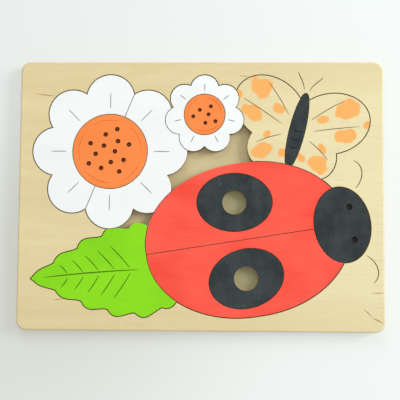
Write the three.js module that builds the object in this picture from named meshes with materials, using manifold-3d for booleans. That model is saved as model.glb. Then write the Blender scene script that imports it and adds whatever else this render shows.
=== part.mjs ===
// Wooden tray puzzle: a plywood base with a frame glued on, and a garden picture of loose pieces
// sawn from the same sheet as the frame. Every piece lifts straight up out of the tray.
// Millimetres, +Z up, X along the tray's long side, origin at the middle of the underside.
import * as THREE from 'three';
import { mergeVertices } from 'three/addons/utils/BufferGeometryUtils.js';
import Module from 'manifold-3d';

const wasm = await Module();
wasm.setup();

const degrees = THREE.MathUtils.degToRad;

// Tray
const TRAY_LENGTH = 300;
const TRAY_WIDTH = 222;
const CORNER_RADIUS = 8;
const BASE_THICKNESS = 4;
const SHEET_THICKNESS = 6;
const EDGE_ROUND = 1.25; // sanded outer edges of the glued tray
const BORDER = 11; // least wood between the picture and the tray's outer edge
const KERF = 0.6; // width of the saw line between neighbouring pieces

// Ladybird, seen from above, walking to the right
const LADYBIRD_LENGTH = 168; // of the wing cases
const LADYBIRD_WIDTH = 126;
const LADYBIRD_TILT = degrees(9);
const WING_CASE_SPLAY = degrees(3); // each wing case swings out a little at the tail
const HEAD_LENGTH = 46;
const HEAD_WIDTH = 62;
const HEAD_REACH = 17; // how far the head stands out of the wing cases
const SPOT_LENGTH = 62;
const SPOT_WIDTH = 48;
const SPOT_BACK = 6; // middle of a spot behind the middle of its wing case
const SPOT_SPLAY = degrees(8); // how far the spots turn outwards towards the tail
const FINGER_HOLE = 20; // bore that a fingertip hooks to lift a spot out

// Large daisy
const DAISY_RADIUS = 64;
const DAISY_PETALS = 8;
const DAISY_NOTCH = 12.5; // depth of the notches between the petals
const DAISY_DISC = 62;
const DAISY_SEAM_NOTCH = 1; // the notch that the cut through the petals starts at, counted from +X

// Small daisy, in front of the large one and the butterfly
const SMALL_DAISY_RADIUS = 33;
const SMALL_DAISY_PETALS = 7;
const SMALL_DAISY_NOTCH = 6.5;
const SMALL_DAISY_DISC = 34;
const SMALL_DAISY_TURN = degrees(90); // direction of its first petal
const SMALL_DAISY_PLACE = 0.36; // from the large daisy's edge, 0, to the butterfly's, 1

// Butterfly, seen from above
const BUTTERFLY_BODY_LENGTH = 64;
const BUTTERFLY_BODY_WIDTH = 13;
const BUTTERFLY_TILT = degrees(-14);
const UPPER_WING_LENGTH = 64;
const UPPER_WING_WIDTH = 50;
const UPPER_WING_RAISE = degrees(26);
const LOWER_WING_LENGTH = 48;
const LOWER_WING_WIDTH = 40;
const LOWER_WING_DROP = degrees(44);

// Leaf
const LEAF_LENGTH = 136;
const LEAF_WIDTH = 78;
const LEAF_SHOULDER = 26; // how far from the stalk its edges swell
const LEAF_TAPER = 52; // how far from the tip its edges draw in
const LEAF_PINCH = 0.5; // height of the taper against the shoulder, less makes a sharper tip
const LEAF_TILT = degrees(5);
const LEAF_TEETH = 7; // along each edge
const LEAF_TOOTH = 4.2;
const TOOTH_LEAN = 1.7; // 1 is an upright tooth, more leans it towards the tip

// Facets
const ARC_STEP = 2.2; // length of one facet along a curved outline
const LEAST_FACETS = 24; // round the smallest outline
const TOOTH_FACETS = 10;
const CORNER_FACETS = 10; // round a corner of the tray
const EDGE_FACETS = 3; // across a sanded edge

const CUT_PAST = 1; // how far a cutter runs past the faces that it cuts

const SHEET_TOP = BASE_THICKNESS + SHEET_THICKNESS;
const picture = new THREE.Box2(
  new THREE.Vector2(-TRAY_LENGTH / 2 + BORDER, -TRAY_WIDTH / 2 + BORDER),
  new THREE.Vector2(TRAY_LENGTH / 2 - BORDER, TRAY_WIDTH / 2 - BORDER),
);
const origin = new THREE.Vector2();

// Outlines: closed lists of points, anticlockwise

function facets(length) {
  return Math.max(LEAST_FACETS, Math.round(length / ARC_STEP));
}

function polar(centre, angle, radius) {
  return new THREE.Vector2(radius, 0).rotateAround(origin, angle).add(centre);
}

function ellipse(centre, length, width, tilt = 0) {
  const count = facets((Math.PI * (length + width)) / 2);
  const curve = new THREE.EllipseCurve(
    centre.x, centre.y, length / 2, width / 2, 0, 2 * Math.PI, false, tilt,
  );
  return curve.getPoints(count).slice(0, -1);
}

// A ring of petals: equal arcs from notch to notch, each drawn through the notches and its tip.
function petals(centre, radius, count, notch, turn) {
  const halfPitch = Math.PI / count;
  const halfChord = (radius - notch) * Math.sin(halfPitch);
  const rise = radius - (radius - notch) * Math.cos(halfPitch);
  const petalRadius = (halfChord ** 2 + rise ** 2) / (2 * rise);
  const sweep = Math.atan2(halfChord, petalRadius - rise);
  const steps = Math.ceil(facets(2 * sweep * petalRadius * count) / count);
  const arc = (axis) => {
    const middle = polar(centre, axis, radius - petalRadius);
    return Array.from({ length: steps }, (_, i) => (
      polar(middle, axis + sweep * ((2 * i) / steps - 1), petalRadius)
    ));
  };
  return Array.from({ length: count }, (_, i) => arc(turn + 2 * halfPitch * i)).flat();
}

// A leaf from its stalk at the origin towards -X. Each edge is a smooth curve, with round teeth
// square to it that lean towards the tip and fade out at both ends.
function leafOutline() {
  const steps = LEAF_TEETH * TOOTH_FACETS;
  const tip = new THREE.Vector2(-LEAF_LENGTH, 0);
  const edge = (rise) => new THREE.CubicBezierCurve(
    origin,
    new THREE.Vector2(-LEAF_SHOULDER, rise),
    new THREE.Vector2(LEAF_TAPER - LEAF_LENGTH, LEAF_PINCH * rise),
    tip,
  );
  const bellyPerRise = new THREE.Box2().setFromPoints(edge(1).getPoints(steps)).max.y;
  const curve = edge((LEAF_WIDTH / 2 - LEAF_TOOTH) / bellyPerRise);
  const upper = Array.from({ length: steps }, (_, i) => {
    const tangent = curve.getTangentAt(i / steps);
    const size = LEAF_TOOTH * Math.sqrt(Math.sin((Math.PI * i) / steps));
    const upTooth = (i % TOOTH_FACETS) / TOOTH_FACETS;
    const bump = size * Math.sin(Math.PI * upTooth ** TOOTH_LEAN);
    return curve.getPointAt(i / steps).add(new THREE.Vector2(tangent.y, -tangent.x).multiplyScalar(bump));
  });
  const lower = upper.slice(1).reverse().map((point) => new THREE.Vector2(point.x, -point.y));
  return [...upper, tip, ...lower].map((point) => point.rotateAround(origin, LEAF_TILT));
}

// The outline moved outwards by a distance, with mitred corners.
function grown(points, distance) {
  const normal = (from, to) => {
    const along = to.clone().sub(from).normalize();
    return new THREE.Vector2(along.y, -along.x);
  };
  return points.map((point, i) => {
    const before = points.at(i - 1);
    const after = points[(i + 1) % points.length];
    const mitre = normal(before, point).add(normal(point, after));
    return point.clone().addScaledVector(mitre, (2 * distance) / mitre.lengthSq());
  });
}

// The move that brings a group of outlines against two sides of the picture, given as directions.
function moveTo(sideX, sideY, group) {
  const box = new THREE.Box2().setFromPoints(group.flat());
  return new THREE.Vector2(
    sideX > 0 ? picture.max.x - box.max.x : picture.min.x - box.min.x,
    sideY > 0 ? picture.max.y - box.max.y : picture.min.y - box.min.y,
  );
}

function moved(points, move) {
  return points.map((point) => point.clone().add(move));
}

// Solids

function solidOf(geometry) {
  geometry.deleteAttribute('normal');
  geometry.deleteAttribute('uv');
  const merged = mergeVertices(geometry);
  return new wasm.Manifold(new wasm.Mesh({
    numProp: 3,
    vertProperties: new Float32Array(merged.attributes.position.array),
    triVerts: new Uint32Array(merged.index.array),
  }));
}

function prism(points, bottom, top) {
  const geometry = new THREE.ExtrudeGeometry(new THREE.Shape(points), {
    depth: top - bottom, bevelEnabled: false,
  });
  return solidOf(geometry.translate(0, 0, bottom));
}

// The part of the sheet inside an outline, half a kerf short of the drawn line.
function sawn(outline) {
  return prism(grown(outline, -KERF / 2), BASE_THICKNESS, SHEET_TOP);
}

// A cutter right through the sheet.
function cutter(outline) {
  return prism(outline, BASE_THICKNESS - CUT_PAST, SHEET_TOP + CUT_PAST);
}

// What the saw takes out of the sheet behind an outline, half a kerf past the drawn line.
function clearance(outline) {
  return cutter(grown(outline, KERF / 2));
}

// Everything to the left of a saw line that runs through two points, half a kerf away from it.
function leftOf(from, to) {
  const along = to.clone().sub(from).normalize();
  const across = along.clone().rotateAround(origin, Math.PI / 2);
  const corner = (forward, aside) => (
    from.clone().addScaledVector(along, forward).addScaledVector(across, aside)
  );
  const far = TRAY_LENGTH + TRAY_WIDTH;
  return cutter([
    corner(-far, KERF / 2), corner(far, KERF / 2), corner(far, far), corner(-far, far),
  ]);
}

function joined(solids) {
  return solids.reduce((sum, solid) => sum.add(solid));
}

// Loose offcuts fall away, so the largest body is the piece.
function largest(solid) {
  return solid.decompose().reduce((a, b) => (a.volume() >= b.volume() ? a : b));
}

function meshOf(name, solid, material) {
  const { numProp, vertProperties, triVerts } = solid.getMesh();
  const positions = new Float32Array((vertProperties.length / numProp) * 3);
  for (let i = 0; i * numProp < vertProperties.length; i += 1) {
    positions.set(vertProperties.subarray(i * numProp, i * numProp + 3), i * 3);
  }
  const geometry = new THREE.BufferGeometry();
  geometry.setAttribute('position', new THREE.BufferAttribute(positions, 3));
  geometry.setIndex(new THREE.BufferAttribute(triVerts, 1));
  geometry.computeVertexNormals();
  const mesh = new THREE.Mesh(geometry, material);
  mesh.name = name;
  return mesh;
}

// The picture's motifs, each drawn about its own middle and moved against the border

function drawLadybird() {
  const at = (forward, aside) => (
    new THREE.Vector2(forward, aside).rotateAround(origin, LADYBIRD_TILT)
  );
  const wingCase = (side) => (
    ellipse(origin, LADYBIRD_LENGTH, LADYBIRD_WIDTH, LADYBIRD_TILT - side * WING_CASE_SPLAY)
  );
  const headMiddle = at(LADYBIRD_LENGTH / 2 + HEAD_REACH - HEAD_LENGTH / 2, 0);
  const head = ellipse(headMiddle, HEAD_LENGTH, HEAD_WIDTH, LADYBIRD_TILT);
  const wingCases = [wingCase(1), wingCase(-1)];
  const move = moveTo(1, -1, [head, ...wingCases]);
  const spot = (side) => {
    const middle = at(-SPOT_BACK, (side * LADYBIRD_WIDTH) / 4).add(move);
    return {
      outline: ellipse(middle, SPOT_LENGTH, SPOT_WIDTH, LADYBIRD_TILT - side * SPOT_SPLAY),
      hole: ellipse(middle, FINGER_HOLE, FINGER_HOLE),
    };
  };
  return {
    head: moved(head, move),
    wingCases: wingCases.map((outline) => moved(outline, move)),
    tail: at(-LADYBIRD_LENGTH / 2, 0).add(move),
    neck: at(LADYBIRD_LENGTH / 2, 0).add(move),
    upperSpot: spot(1),
    lowerSpot: spot(-1),
  };
}

function drawDaisy() {
  const centre = new THREE.Vector2(picture.min.x + DAISY_RADIUS, picture.max.y - DAISY_RADIUS);
  const seam = (2 * DAISY_SEAM_NOTCH + 1) * (Math.PI / DAISY_PETALS);
  return {
    centre,
    disc: ellipse(centre, DAISY_DISC, DAISY_DISC),
    petals: petals(centre, DAISY_RADIUS, DAISY_PETALS, DAISY_NOTCH, 0),
    seamTop: polar(centre, seam, DAISY_RADIUS),
  };
}

function drawSmallDaisy(leftNeighbour, rightNeighbour) {
  const from = new THREE.Box2().setFromPoints(leftNeighbour).max.x;
  const to = new THREE.Box2().setFromPoints(rightNeighbour).min.x;
  const centre = new THREE.Vector2(
    THREE.MathUtils.lerp(from, to, SMALL_DAISY_PLACE), picture.max.y - SMALL_DAISY_RADIUS,
  );
  return {
    disc: ellipse(centre, SMALL_DAISY_DISC, SMALL_DAISY_DISC),
    petals: petals(
      centre, SMALL_DAISY_RADIUS, SMALL_DAISY_PETALS, SMALL_DAISY_NOTCH, SMALL_DAISY_TURN,
    ),
  };
}

function drawButterfly() {
  const rootInset = BUTTERFLY_BODY_WIDTH / 4; // the wings' roots meet behind the body
  const lobe = (length, width, direction) => (
    ellipse(polar(origin, direction, length / 2 - rootInset), length, width, direction)
  );
  const right = [
    lobe(UPPER_WING_LENGTH, UPPER_WING_WIDTH, BUTTERFLY_TILT + UPPER_WING_RAISE),
    lobe(LOWER_WING_LENGTH, LOWER_WING_WIDTH, BUTTERFLY_TILT - LOWER_WING_DROP),
  ];
  const left = [
    lobe(UPPER_WING_LENGTH, UPPER_WING_WIDTH, BUTTERFLY_TILT + Math.PI - UPPER_WING_RAISE),
    lobe(LOWER_WING_LENGTH, LOWER_WING_WIDTH, BUTTERFLY_TILT + Math.PI + LOWER_WING_DROP),
  ];
  const body = ellipse(origin, BUTTERFLY_BODY_WIDTH, BUTTERFLY_BODY_LENGTH, BUTTERFLY_TILT);
  const move = moveTo(1, 1, [body, ...left, ...right]);
  return {
    body: moved(body, move),
    leftWing: left.map((outline) => moved(outline, move)),
    rightWing: right.map((outline) => moved(outline, move)),
  };
}

function drawLeaf() {
  const outline = leafOutline();
  return moved(outline, moveTo(-1, -1, [outline]));
}

// Finishes
const paint = (color) => new THREE.MeshStandardMaterial({ color, roughness: 0.5, metalness: 0 });
const bareWood = (color) => new THREE.MeshStandardMaterial({ color, roughness: 0.65, metalness: 0 });
const plywood = bareWood(0xe4d5a5);
const paleWood = bareWood(0xe6d8b0);
const red = paint(0xf8554a);
const black = paint(0x3b4446);
const white = paint(0xf3f5f4);
const orange = paint(0xfb8a4b);
const green = paint(0x8bdc20);

// The loose pieces, from the front of the picture to the back

const puzzle = new THREE.Group();
const clearances = []; // of all that lies in front of the next piece

// Cuts one piece out of the sheet, behind everything in front of it.
function addPiece(name, outlines, material, trim = (solid) => solid) {
  let solid = trim(joined(outlines.map(sawn)));
  for (const taken of clearances) {
    solid = solid.subtract(taken);
  }
  puzzle.add(meshOf(name, largest(solid), material));
}

function putInFront(...outlines) {
  clearances.push(...outlines.map(clearance));
}

function bored(hole) {
  return (solid) => solid.subtract(cutter(hole));
}

function halved(from, to) {
  return (solid) => solid.intersect(leftOf(from, to));
}

const ladybird = drawLadybird();
const daisy = drawDaisy();
const butterfly = drawButterfly();
const smallDaisy = drawSmallDaisy(daisy.petals, butterfly.leftWing.flat());
const leaf = drawLeaf();

addPiece('wing_spot_upper', [ladybird.upperSpot.outline], black, bored(ladybird.upperSpot.hole));
addPiece('wing_spot_lower', [ladybird.lowerSpot.outline], black, bored(ladybird.lowerSpot.hole));
addPiece('ladybird_head', [ladybird.head], black);
putInFront(ladybird.upperSpot.outline, ladybird.lowerSpot.outline, ladybird.head);
addPiece('wing_case_upper', ladybird.wingCases, red, halved(ladybird.tail, ladybird.neck));
addPiece('wing_case_lower', ladybird.wingCases, red, halved(ladybird.neck, ladybird.tail));
putInFront(...ladybird.wingCases);

addPiece('small_daisy_disc', [smallDaisy.disc], orange);
putInFront(smallDaisy.disc);
addPiece('small_daisy_petals', [smallDaisy.petals], white);
putInFront(smallDaisy.petals);

addPiece('butterfly_body', [butterfly.body], black);
putInFront(butterfly.body);
addPiece('butterfly_wing_left', butterfly.leftWing, paleWood);
addPiece('butterfly_wing_right', butterfly.rightWing, paleWood);
putInFront(...butterfly.leftWing, ...butterfly.rightWing);

addPiece('daisy_disc', [daisy.disc], orange);
putInFront(daisy.disc);
addPiece('daisy_petals_left', [daisy.petals], white, halved(daisy.centre, daisy.seamTop));
addPiece('daisy_petals_right', [daisy.petals], white, halved(daisy.seamTop, daisy.centre));
putInFront(daisy.petals);

addPiece('leaf', [leaf], green);
putInFront(leaf);

// The glued tray: one rounded block with sanded edges, parted where the base meets the frame

function roundedBlock() {
  const outline = new THREE.Shape();
  const x = TRAY_LENGTH / 2 - CORNER_RADIUS;
  const y = TRAY_WIDTH / 2 - CORNER_RADIUS;
  outline.absarc(x, y, CORNER_RADIUS, 0, Math.PI / 2, false);
  outline.absarc(-x, y, CORNER_RADIUS, Math.PI / 2, Math.PI, false);
  outline.absarc(-x, -y, CORNER_RADIUS, Math.PI, 1.5 * Math.PI, false);
  outline.absarc(x, -y, CORNER_RADIUS, 1.5 * Math.PI, 2 * Math.PI, false);
  const geometry = new THREE.ExtrudeGeometry(outline, {
    depth: SHEET_TOP - 2 * EDGE_ROUND,
    bevelEnabled: true,
    bevelThickness: EDGE_ROUND,
    bevelSize: EDGE_ROUND,
    bevelOffset: -EDGE_ROUND,
    bevelSegments: EDGE_FACETS,
    curveSegments: CORNER_FACETS / 2,
  });
  return solidOf(geometry.translate(0, 0, EDGE_ROUND));
}

const block = roundedBlock();
const lowerHalf = new THREE.BoxGeometry(2 * TRAY_LENGTH, 2 * TRAY_WIDTH, SHEET_TOP);
const belowGlue = solidOf(lowerHalf.translate(0, 0, BASE_THICKNESS - SHEET_TOP / 2));
puzzle.add(meshOf('tray_base', block.intersect(belowGlue), plywood));

// Islands of the sheet between the pieces fall out too, and leave open pockets over the base.
let frame = block.subtract(belowGlue);
for (const taken of clearances) {
  frame = frame.subtract(taken);
}
puzzle.add(meshOf('tray_frame', largest(frame), plywood));

export default puzzle;
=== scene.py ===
# Wooden tray puzzle with a garden picture: painted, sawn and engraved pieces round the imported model
import math

import bpy
import numpy as np
from mathutils import Matrix, Vector
from mathutils.geometry import delaunay_2d_cdt


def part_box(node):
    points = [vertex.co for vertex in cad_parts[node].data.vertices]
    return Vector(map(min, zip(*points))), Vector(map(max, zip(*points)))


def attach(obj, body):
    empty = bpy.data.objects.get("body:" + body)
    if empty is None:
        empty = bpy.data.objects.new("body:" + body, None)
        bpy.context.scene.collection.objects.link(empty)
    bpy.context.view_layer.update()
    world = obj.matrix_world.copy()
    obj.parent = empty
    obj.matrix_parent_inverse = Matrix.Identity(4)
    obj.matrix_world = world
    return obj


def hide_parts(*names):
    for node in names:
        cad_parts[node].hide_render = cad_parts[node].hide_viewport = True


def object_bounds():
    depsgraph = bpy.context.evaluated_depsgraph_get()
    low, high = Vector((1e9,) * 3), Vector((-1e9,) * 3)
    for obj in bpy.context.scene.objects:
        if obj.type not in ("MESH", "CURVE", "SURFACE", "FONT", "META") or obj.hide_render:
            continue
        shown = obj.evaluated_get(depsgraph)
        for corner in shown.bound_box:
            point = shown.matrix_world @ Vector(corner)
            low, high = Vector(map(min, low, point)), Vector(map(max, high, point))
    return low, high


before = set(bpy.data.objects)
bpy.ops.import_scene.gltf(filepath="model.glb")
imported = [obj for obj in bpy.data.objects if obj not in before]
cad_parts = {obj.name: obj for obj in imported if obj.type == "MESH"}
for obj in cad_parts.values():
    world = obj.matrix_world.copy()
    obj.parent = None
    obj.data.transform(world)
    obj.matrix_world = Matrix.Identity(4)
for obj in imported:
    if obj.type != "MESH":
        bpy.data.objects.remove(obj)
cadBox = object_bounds()
mm = 0.001  # every size below is in millimetres, and a finished mesh is in metres
print("frame loaded:", len(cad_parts), "nodes")


# Reading the sawn outlines back from the frame

weld = {
    "distance": 0.02,  # corners closer than this are one point
    "height": 0.01,  # corners this close to the top are on the top face
}
outlines = {
    "spacing": 0.8,  # between the points of a finished outline
    "curveSteps": 6,  # along each cubic
    "leastSteps": 2,  # from one sharp corner to the next
    "straight": 5,  # a side longer than this isn't part of a curve
    "sharpCorner": 33,  # degrees of turn past which a corner stays sharp
    "mitre": 1.5,  # longest reach of an inset at a corner
    "share": 0.6,  # part of the wood's half width that an inset may take at a thin tip
    "leastInset": 0.02,
    "ahead": 1e-6,  # a point lies ahead of another from this distance on
}


# Vectors brought to length 1.
def unit(vectors):
    return vectors / np.linalg.norm(vectors, axis=-1, keepdims=True)


# Closed rings round a node's top face, with the wood on the left: the triangles' directed sides that no
# neighbour walks back. The point after j steps is found by the jumps of 1, 2, 4... in j's binary digits.
def ringsOf(node):
    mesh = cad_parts[node].data
    mesh.calc_loop_triangles()
    points = np.empty(len(mesh.vertices) * 3)
    corners = np.empty(len(mesh.loop_triangles) * 3, int)
    mesh.vertices.foreach_get("co", points)
    mesh.loop_triangles.foreach_get("vertices", corners)
    points = points.reshape(-1, 3) / mm
    corners = corners.reshape(-1, 3)
    top = points[:, 2].max()
    flat = np.all(points[corners, 2] > top - weld["height"], axis=1)
    places = np.round(points[:, :2] / weld["distance"]).astype(int)
    _, first, welded = np.unique(places, axis=0, return_index=True, return_inverse=True)
    triangles = welded.reshape(-1)[corners[flat]]
    size = len(first)
    sides = np.concatenate([triangles[:, [0, 1]], triangles[:, [1, 2]], triangles[:, [2, 0]]])
    walkedBack = np.isin(sides[:, 0] * size + sides[:, 1], sides[:, 1] * size + sides[:, 0])
    rim = sides[~walkedBack]
    onward = np.arange(size)
    onward[rim[:, 0]] = rim[:, 1]
    jumps = [onward]
    label = np.arange(size)
    for _ in range(size.bit_length()):
        label = np.minimum(label, label[jumps[-1]])
        jumps.append(jumps[-1][jumps[-1]])
    rings = []
    for start in np.unique(label[rim[:, 0]]):
        steps = np.arange(np.count_nonzero(label == start))
        place = np.full(len(steps), start)
        for power, jump in enumerate(jumps):
            place = np.where(steps >> power & 1, jump[place], place)
        rings.append(points[first[place], :2])
    return rings


# A ring with finer, evenly spaced points: a cubic from each point to the next, whose end slopes halve the
# turn at a smooth point and follow the side itself at a sharp corner, then even steps between the corners.
# A long side is straight, and its neighbours join it smoothly.
def smoothed(ring):
    side = np.roll(ring, -1, 0) - ring
    heading = unit(side)
    bends = np.sum(heading * np.roll(heading, 1, 0), 1) < math.cos(math.radians(outlines["sharpCorner"]))
    first = -int(np.argmax(bends))
    ring, side, heading, bends = (np.roll(values, first, 0) for values in (ring, side, heading, bends))
    length = np.linalg.norm(side, axis=1, keepdims=True)
    corner = bends[:, None]
    before = np.roll(heading, 1, 0)
    straight = length > outlines["straight"]
    bisector = np.where(straight, heading, np.where(np.roll(straight, 1, 0), before, unit(heading + before)))
    leaving = np.where(corner, heading, bisector) * length
    arriving = np.where(np.roll(corner, -1, 0), heading, np.roll(bisector, -1, 0)) * length
    t = (np.arange(outlines["curveSteps"]) / outlines["curveSteps"])[:, None, None]
    curve = (2 * t**3 - 3 * t**2 + 1) * ring + (t**3 - 2 * t**2 + t) * leaving
    curve = curve + (3 * t**2 - 2 * t**3) * (ring + side) + (t**3 - t**2) * arriving
    curve = np.concatenate([curve.transpose(1, 0, 2).reshape(-1, 2), ring[:1]])
    along = np.concatenate([[0], np.cumsum(np.linalg.norm(np.diff(curve, axis=0), axis=1))])
    ends = along[np.unique(np.append(np.flatnonzero(bends), [0, len(ring)])) * outlines["curveSteps"]]
    counts = np.round(np.diff(ends) / outlines["spacing"]).astype(int)
    counts = np.maximum(counts, outlines["leastSteps"])
    stops = np.concatenate(
        [np.linspace(a, b, n, endpoint=False) for a, b, n in zip(ends[:-1], ends[1:], counts)])
    return np.stack([np.interp(stops, along, curve[:, axis]) for axis in (0, 1)], 1)


# Inward direction at each point of a piece's rings, and the room there: the radius of the largest circle
# that touches the outline from inside, |d|^2 / (2 d.n) at its least over all other points.
def inwardOf(rings):
    headings = [unit(np.roll(ring, -1, 0) - ring) for ring in rings]
    normals = [np.stack([-h[:, 1], h[:, 0]], 1) for h in headings]
    sums = np.concatenate([normal + np.roll(normal, 1, 0) for normal in normals])
    mitre = np.minimum(2 / np.linalg.norm(sums, axis=1), outlines["mitre"])
    inward = unit(sums)
    points = np.concatenate(rings)
    ahead = inward @ points.T - np.sum(inward * points, 1)[:, None]
    squares = np.sum(points**2, 1)
    apart = squares[:, None] + squares[None] - 2 * points @ points.T
    least = outlines["ahead"]
    circle = np.where(ahead > least, apart / np.maximum(2 * ahead, least), np.inf)
    room = np.maximum(circle.min(1) * outlines["share"], outlines["leastInset"])
    cuts = np.cumsum([len(ring) for ring in rings])[:-1]
    return list(zip(np.split(inward * mitre[:, None], cuts), np.split(room, cuts)))


# Shapes: points and faces, and two values for the finish. Facing is 1 on top, 0 on a wall and -1 below, and
# burnt is 1 where a saw or a hot point has browned the wood, and 2 where it is charred.

filling = {
    "insideOnly": 1,  # the kind of triangulation that stays inside the outlines
    "nearness": 1e-5,  # points closer than this are one
}
sharpEdge = 38  # degrees between two faces past which their edge stays sharp


# A shape with nothing in it yet.
def emptyShape():
    return {"points": [], "faces": [], "facing": [], "burnt": [], "count": 0}


# Adds a grid of points, with one facing and burn or one for each, and gives their numbers in the same grid.
def addPoints(shape, points, facing, burnt):
    layout = points.shape[:-1]
    shape["points"].append(points.reshape(-1, 3))
    shape["facing"].append(np.broadcast_to(facing, layout).ravel())
    shape["burnt"].append(np.broadcast_to(burnt, layout).ravel())
    numbers = shape["count"] + np.arange(np.prod(layout)).reshape(layout)
    shape["count"] += numbers.size
    return numbers


# Quads between the rows and columns of a grid of numbers. A closed grid joins its last column to its first.
def addQuads(shape, numbers, closed):
    here = numbers if closed else numbers[:, :-1]
    onward = np.roll(numbers, -1, 1) if closed else numbers[:, 1:]
    quads = np.stack([here[:-1], here[1:], onward[1:], onward[:-1]], -1)
    shape["faces"] += quads.reshape(-1, 4).tolist()


# True for each point inside the rings: the sides that it sees to its right are odd in number.
def inside(points, rings):
    crossings = np.zeros(len(points), int)
    for ring in rings:
        onward = np.roll(ring, -1, 0)
        spans = (ring[:, 1] > points[:, 1:]) != (onward[:, 1] > points[:, 1:])
        rise = onward[:, 1] - ring[:, 1]
        part = (points[:, 1:] - ring[:, 1]) / np.where(rise == 0, 1, rise)
        crossing = ring[:, 0] + part * (onward[:, 0] - ring[:, 0])
        crossings += np.count_nonzero(spans & (crossing > points[:, :1]), axis=1)
    return crossings % 2 == 1


# Flat fill between rings of point numbers: a triangulation, less the triangles whose middles are outside.
def addFill(shape, rings, facesUp):
    places = np.concatenate(shape["points"])[:, :2]
    numbers = np.concatenate(rings)
    turns = np.split(np.arange(len(numbers)), np.cumsum([len(ring) for ring in rings])[:-1])
    sides = np.concatenate([np.stack([turn, np.roll(turn, -1)], 1) for turn in turns])
    made = delaunay_2d_cdt(
        places[numbers].tolist(), sides.tolist(), [], filling["insideOnly"], filling["nearness"])
    faces, sources = made[2:4]
    triangles = numbers[np.array([source[0] for source in sources])[np.array(faces)]]
    triangles = triangles[inside(places[triangles].mean(1), [places[ring] for ring in rings])]
    shape["faces"] += (triangles if facesUp else triangles[:, ::-1]).tolist()


# A wall: a profile carried along a ring. Each row of the profile is an inset, a height, a facing and a burn.
# Where the room is short, the insets narrow in proportion, so that no two rows fall together.
def addWall(shape, ring, inward, room, profile):
    inset, height, facing, burnt = np.array(profile).T
    narrowed = np.minimum(1, room / max(inset.max(), outlines["leastInset"]))
    reach = np.where(inset[:, None] > 0, inset[:, None] * narrowed, inset[:, None])
    across = ring[None] + reach[:, :, None] * inward[None]
    upright = np.broadcast_to(height[:, None, None], across.shape[:2] + (1,))
    numbers = addPoints(shape, np.concatenate([across, upright], 2), facing[:, None], burnt[:, None])
    addQuads(shape, numbers, True)
    return numbers[0], numbers[-1]


# A mesh object of a shape, in metres, which keeps facing and burnt as attributes of its points.
def objectOf(name, shape, finish):
    mesh = bpy.data.meshes.new(name)
    mesh.from_pydata(np.concatenate(shape["points"]) * mm, [], shape["faces"])
    for key in ("facing", "burnt"):
        values = np.concatenate(shape[key]).astype(np.float32)
        mesh.attributes.new(key, "FLOAT", "POINT").data.foreach_set("value", values)
    mesh.validate()
    mesh.shade_smooth()
    mesh.set_sharp_from_angle(angle=math.radians(sharpEdge))
    mesh.materials.append(finish)
    made = bpy.data.objects.new(name, mesh)
    bpy.context.scene.collection.objects.link(made)
    return made


# Profiles of the edges

sawnEdge = {
    "ease": 0.18,  # radius that the sawn edges are eased to
    "easeSteps": 4,
    "lip": 0.14,  # flat strip beside the eased edge
    "proud": 0.07,  # how far a loose piece's wall stands out of its solid, for a fine saw line
    "wallRows": (0.3, 0.7),  # shares of the way down a sawn wall
    "seam": 0.12,  # radius of the eased edges along the glue line
    "seamSteps": 3,
    "roundSteps": 7,  # over the tray's sanded edge
}


# Rows of a quarter round of some radius, from lying flat to standing upright.
def quarterRound(radius, steps):
    turn = np.linspace(0, math.pi / 2, steps)
    return radius * np.sin(turn), radius * (1 - np.cos(turn)), np.cos(turn)


# From the top face over an eased edge, down a sawn wall that may stand proud, and under. A rim burn browns
# the start of the edge too.
def sawnProfile(top, bottom, ease=sawnEdge["ease"], rimBurn=0.0, proud=sawnEdge["proud"]):
    out, drop, flat = quarterRound(ease, sawnEdge["easeSteps"])
    inset = ease - proud - out
    rows = [(ease + sawnEdge["lip"], top, 1, 0)]
    rows += list(zip(inset, top - drop, flat, 1 - flat * (1 - rimBurn)))
    rows += [(-proud, top - (top - bottom) * part, 0, 1) for part in sawnEdge["wallRows"]]
    rows += list(zip(inset[::-1], (bottom + drop)[::-1], -flat[::-1], 1 - flat[::-1]))
    return rows + [(ease + sawnEdge["lip"], bottom, -1, 0)]


# The sheet's outer edge, sanded round above and eased along the glue line below.
def sandedProfile(top, bottom, radius):
    out, drop, flat = quarterRound(radius, sawnEdge["roundSteps"])
    seamOut, seamDrop, seamFlat = quarterRound(sawnEdge["seam"], sawnEdge["seamSteps"])
    rows = [(sawnEdge["lip"], top, 1, 0)]
    rows += list(zip(-out, top - drop, flat, 0 * flat))
    rows += list(zip((-radius + sawnEdge["seam"] - seamOut)[::-1], (bottom + seamDrop)[::-1],
                     -seamFlat[::-1], 0 * seamFlat))
    return rows


# The base's outer edge, eased along the glue line above and sanded round below.
def baseProfile(top, bottom, radius):
    out, drop, flat = quarterRound(radius, sawnEdge["roundSteps"])
    seamOut, seamDrop, seamFlat = quarterRound(sawnEdge["seam"], sawnEdge["seamSteps"])
    rows = [(sawnEdge["seam"] + sawnEdge["lip"], top, 1, 0)]
    rows += list(zip(sawnEdge["seam"] - seamOut, top - seamDrop, seamFlat, 0 * seamFlat))
    rows += list(zip((radius - out)[::-1], (bottom + drop)[::-1], -flat[::-1], 0 * flat))
    return rows + [(radius + sawnEdge["lip"], bottom, -1, 0)]


# Engraved and drilled marks, cut into a top face

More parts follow.
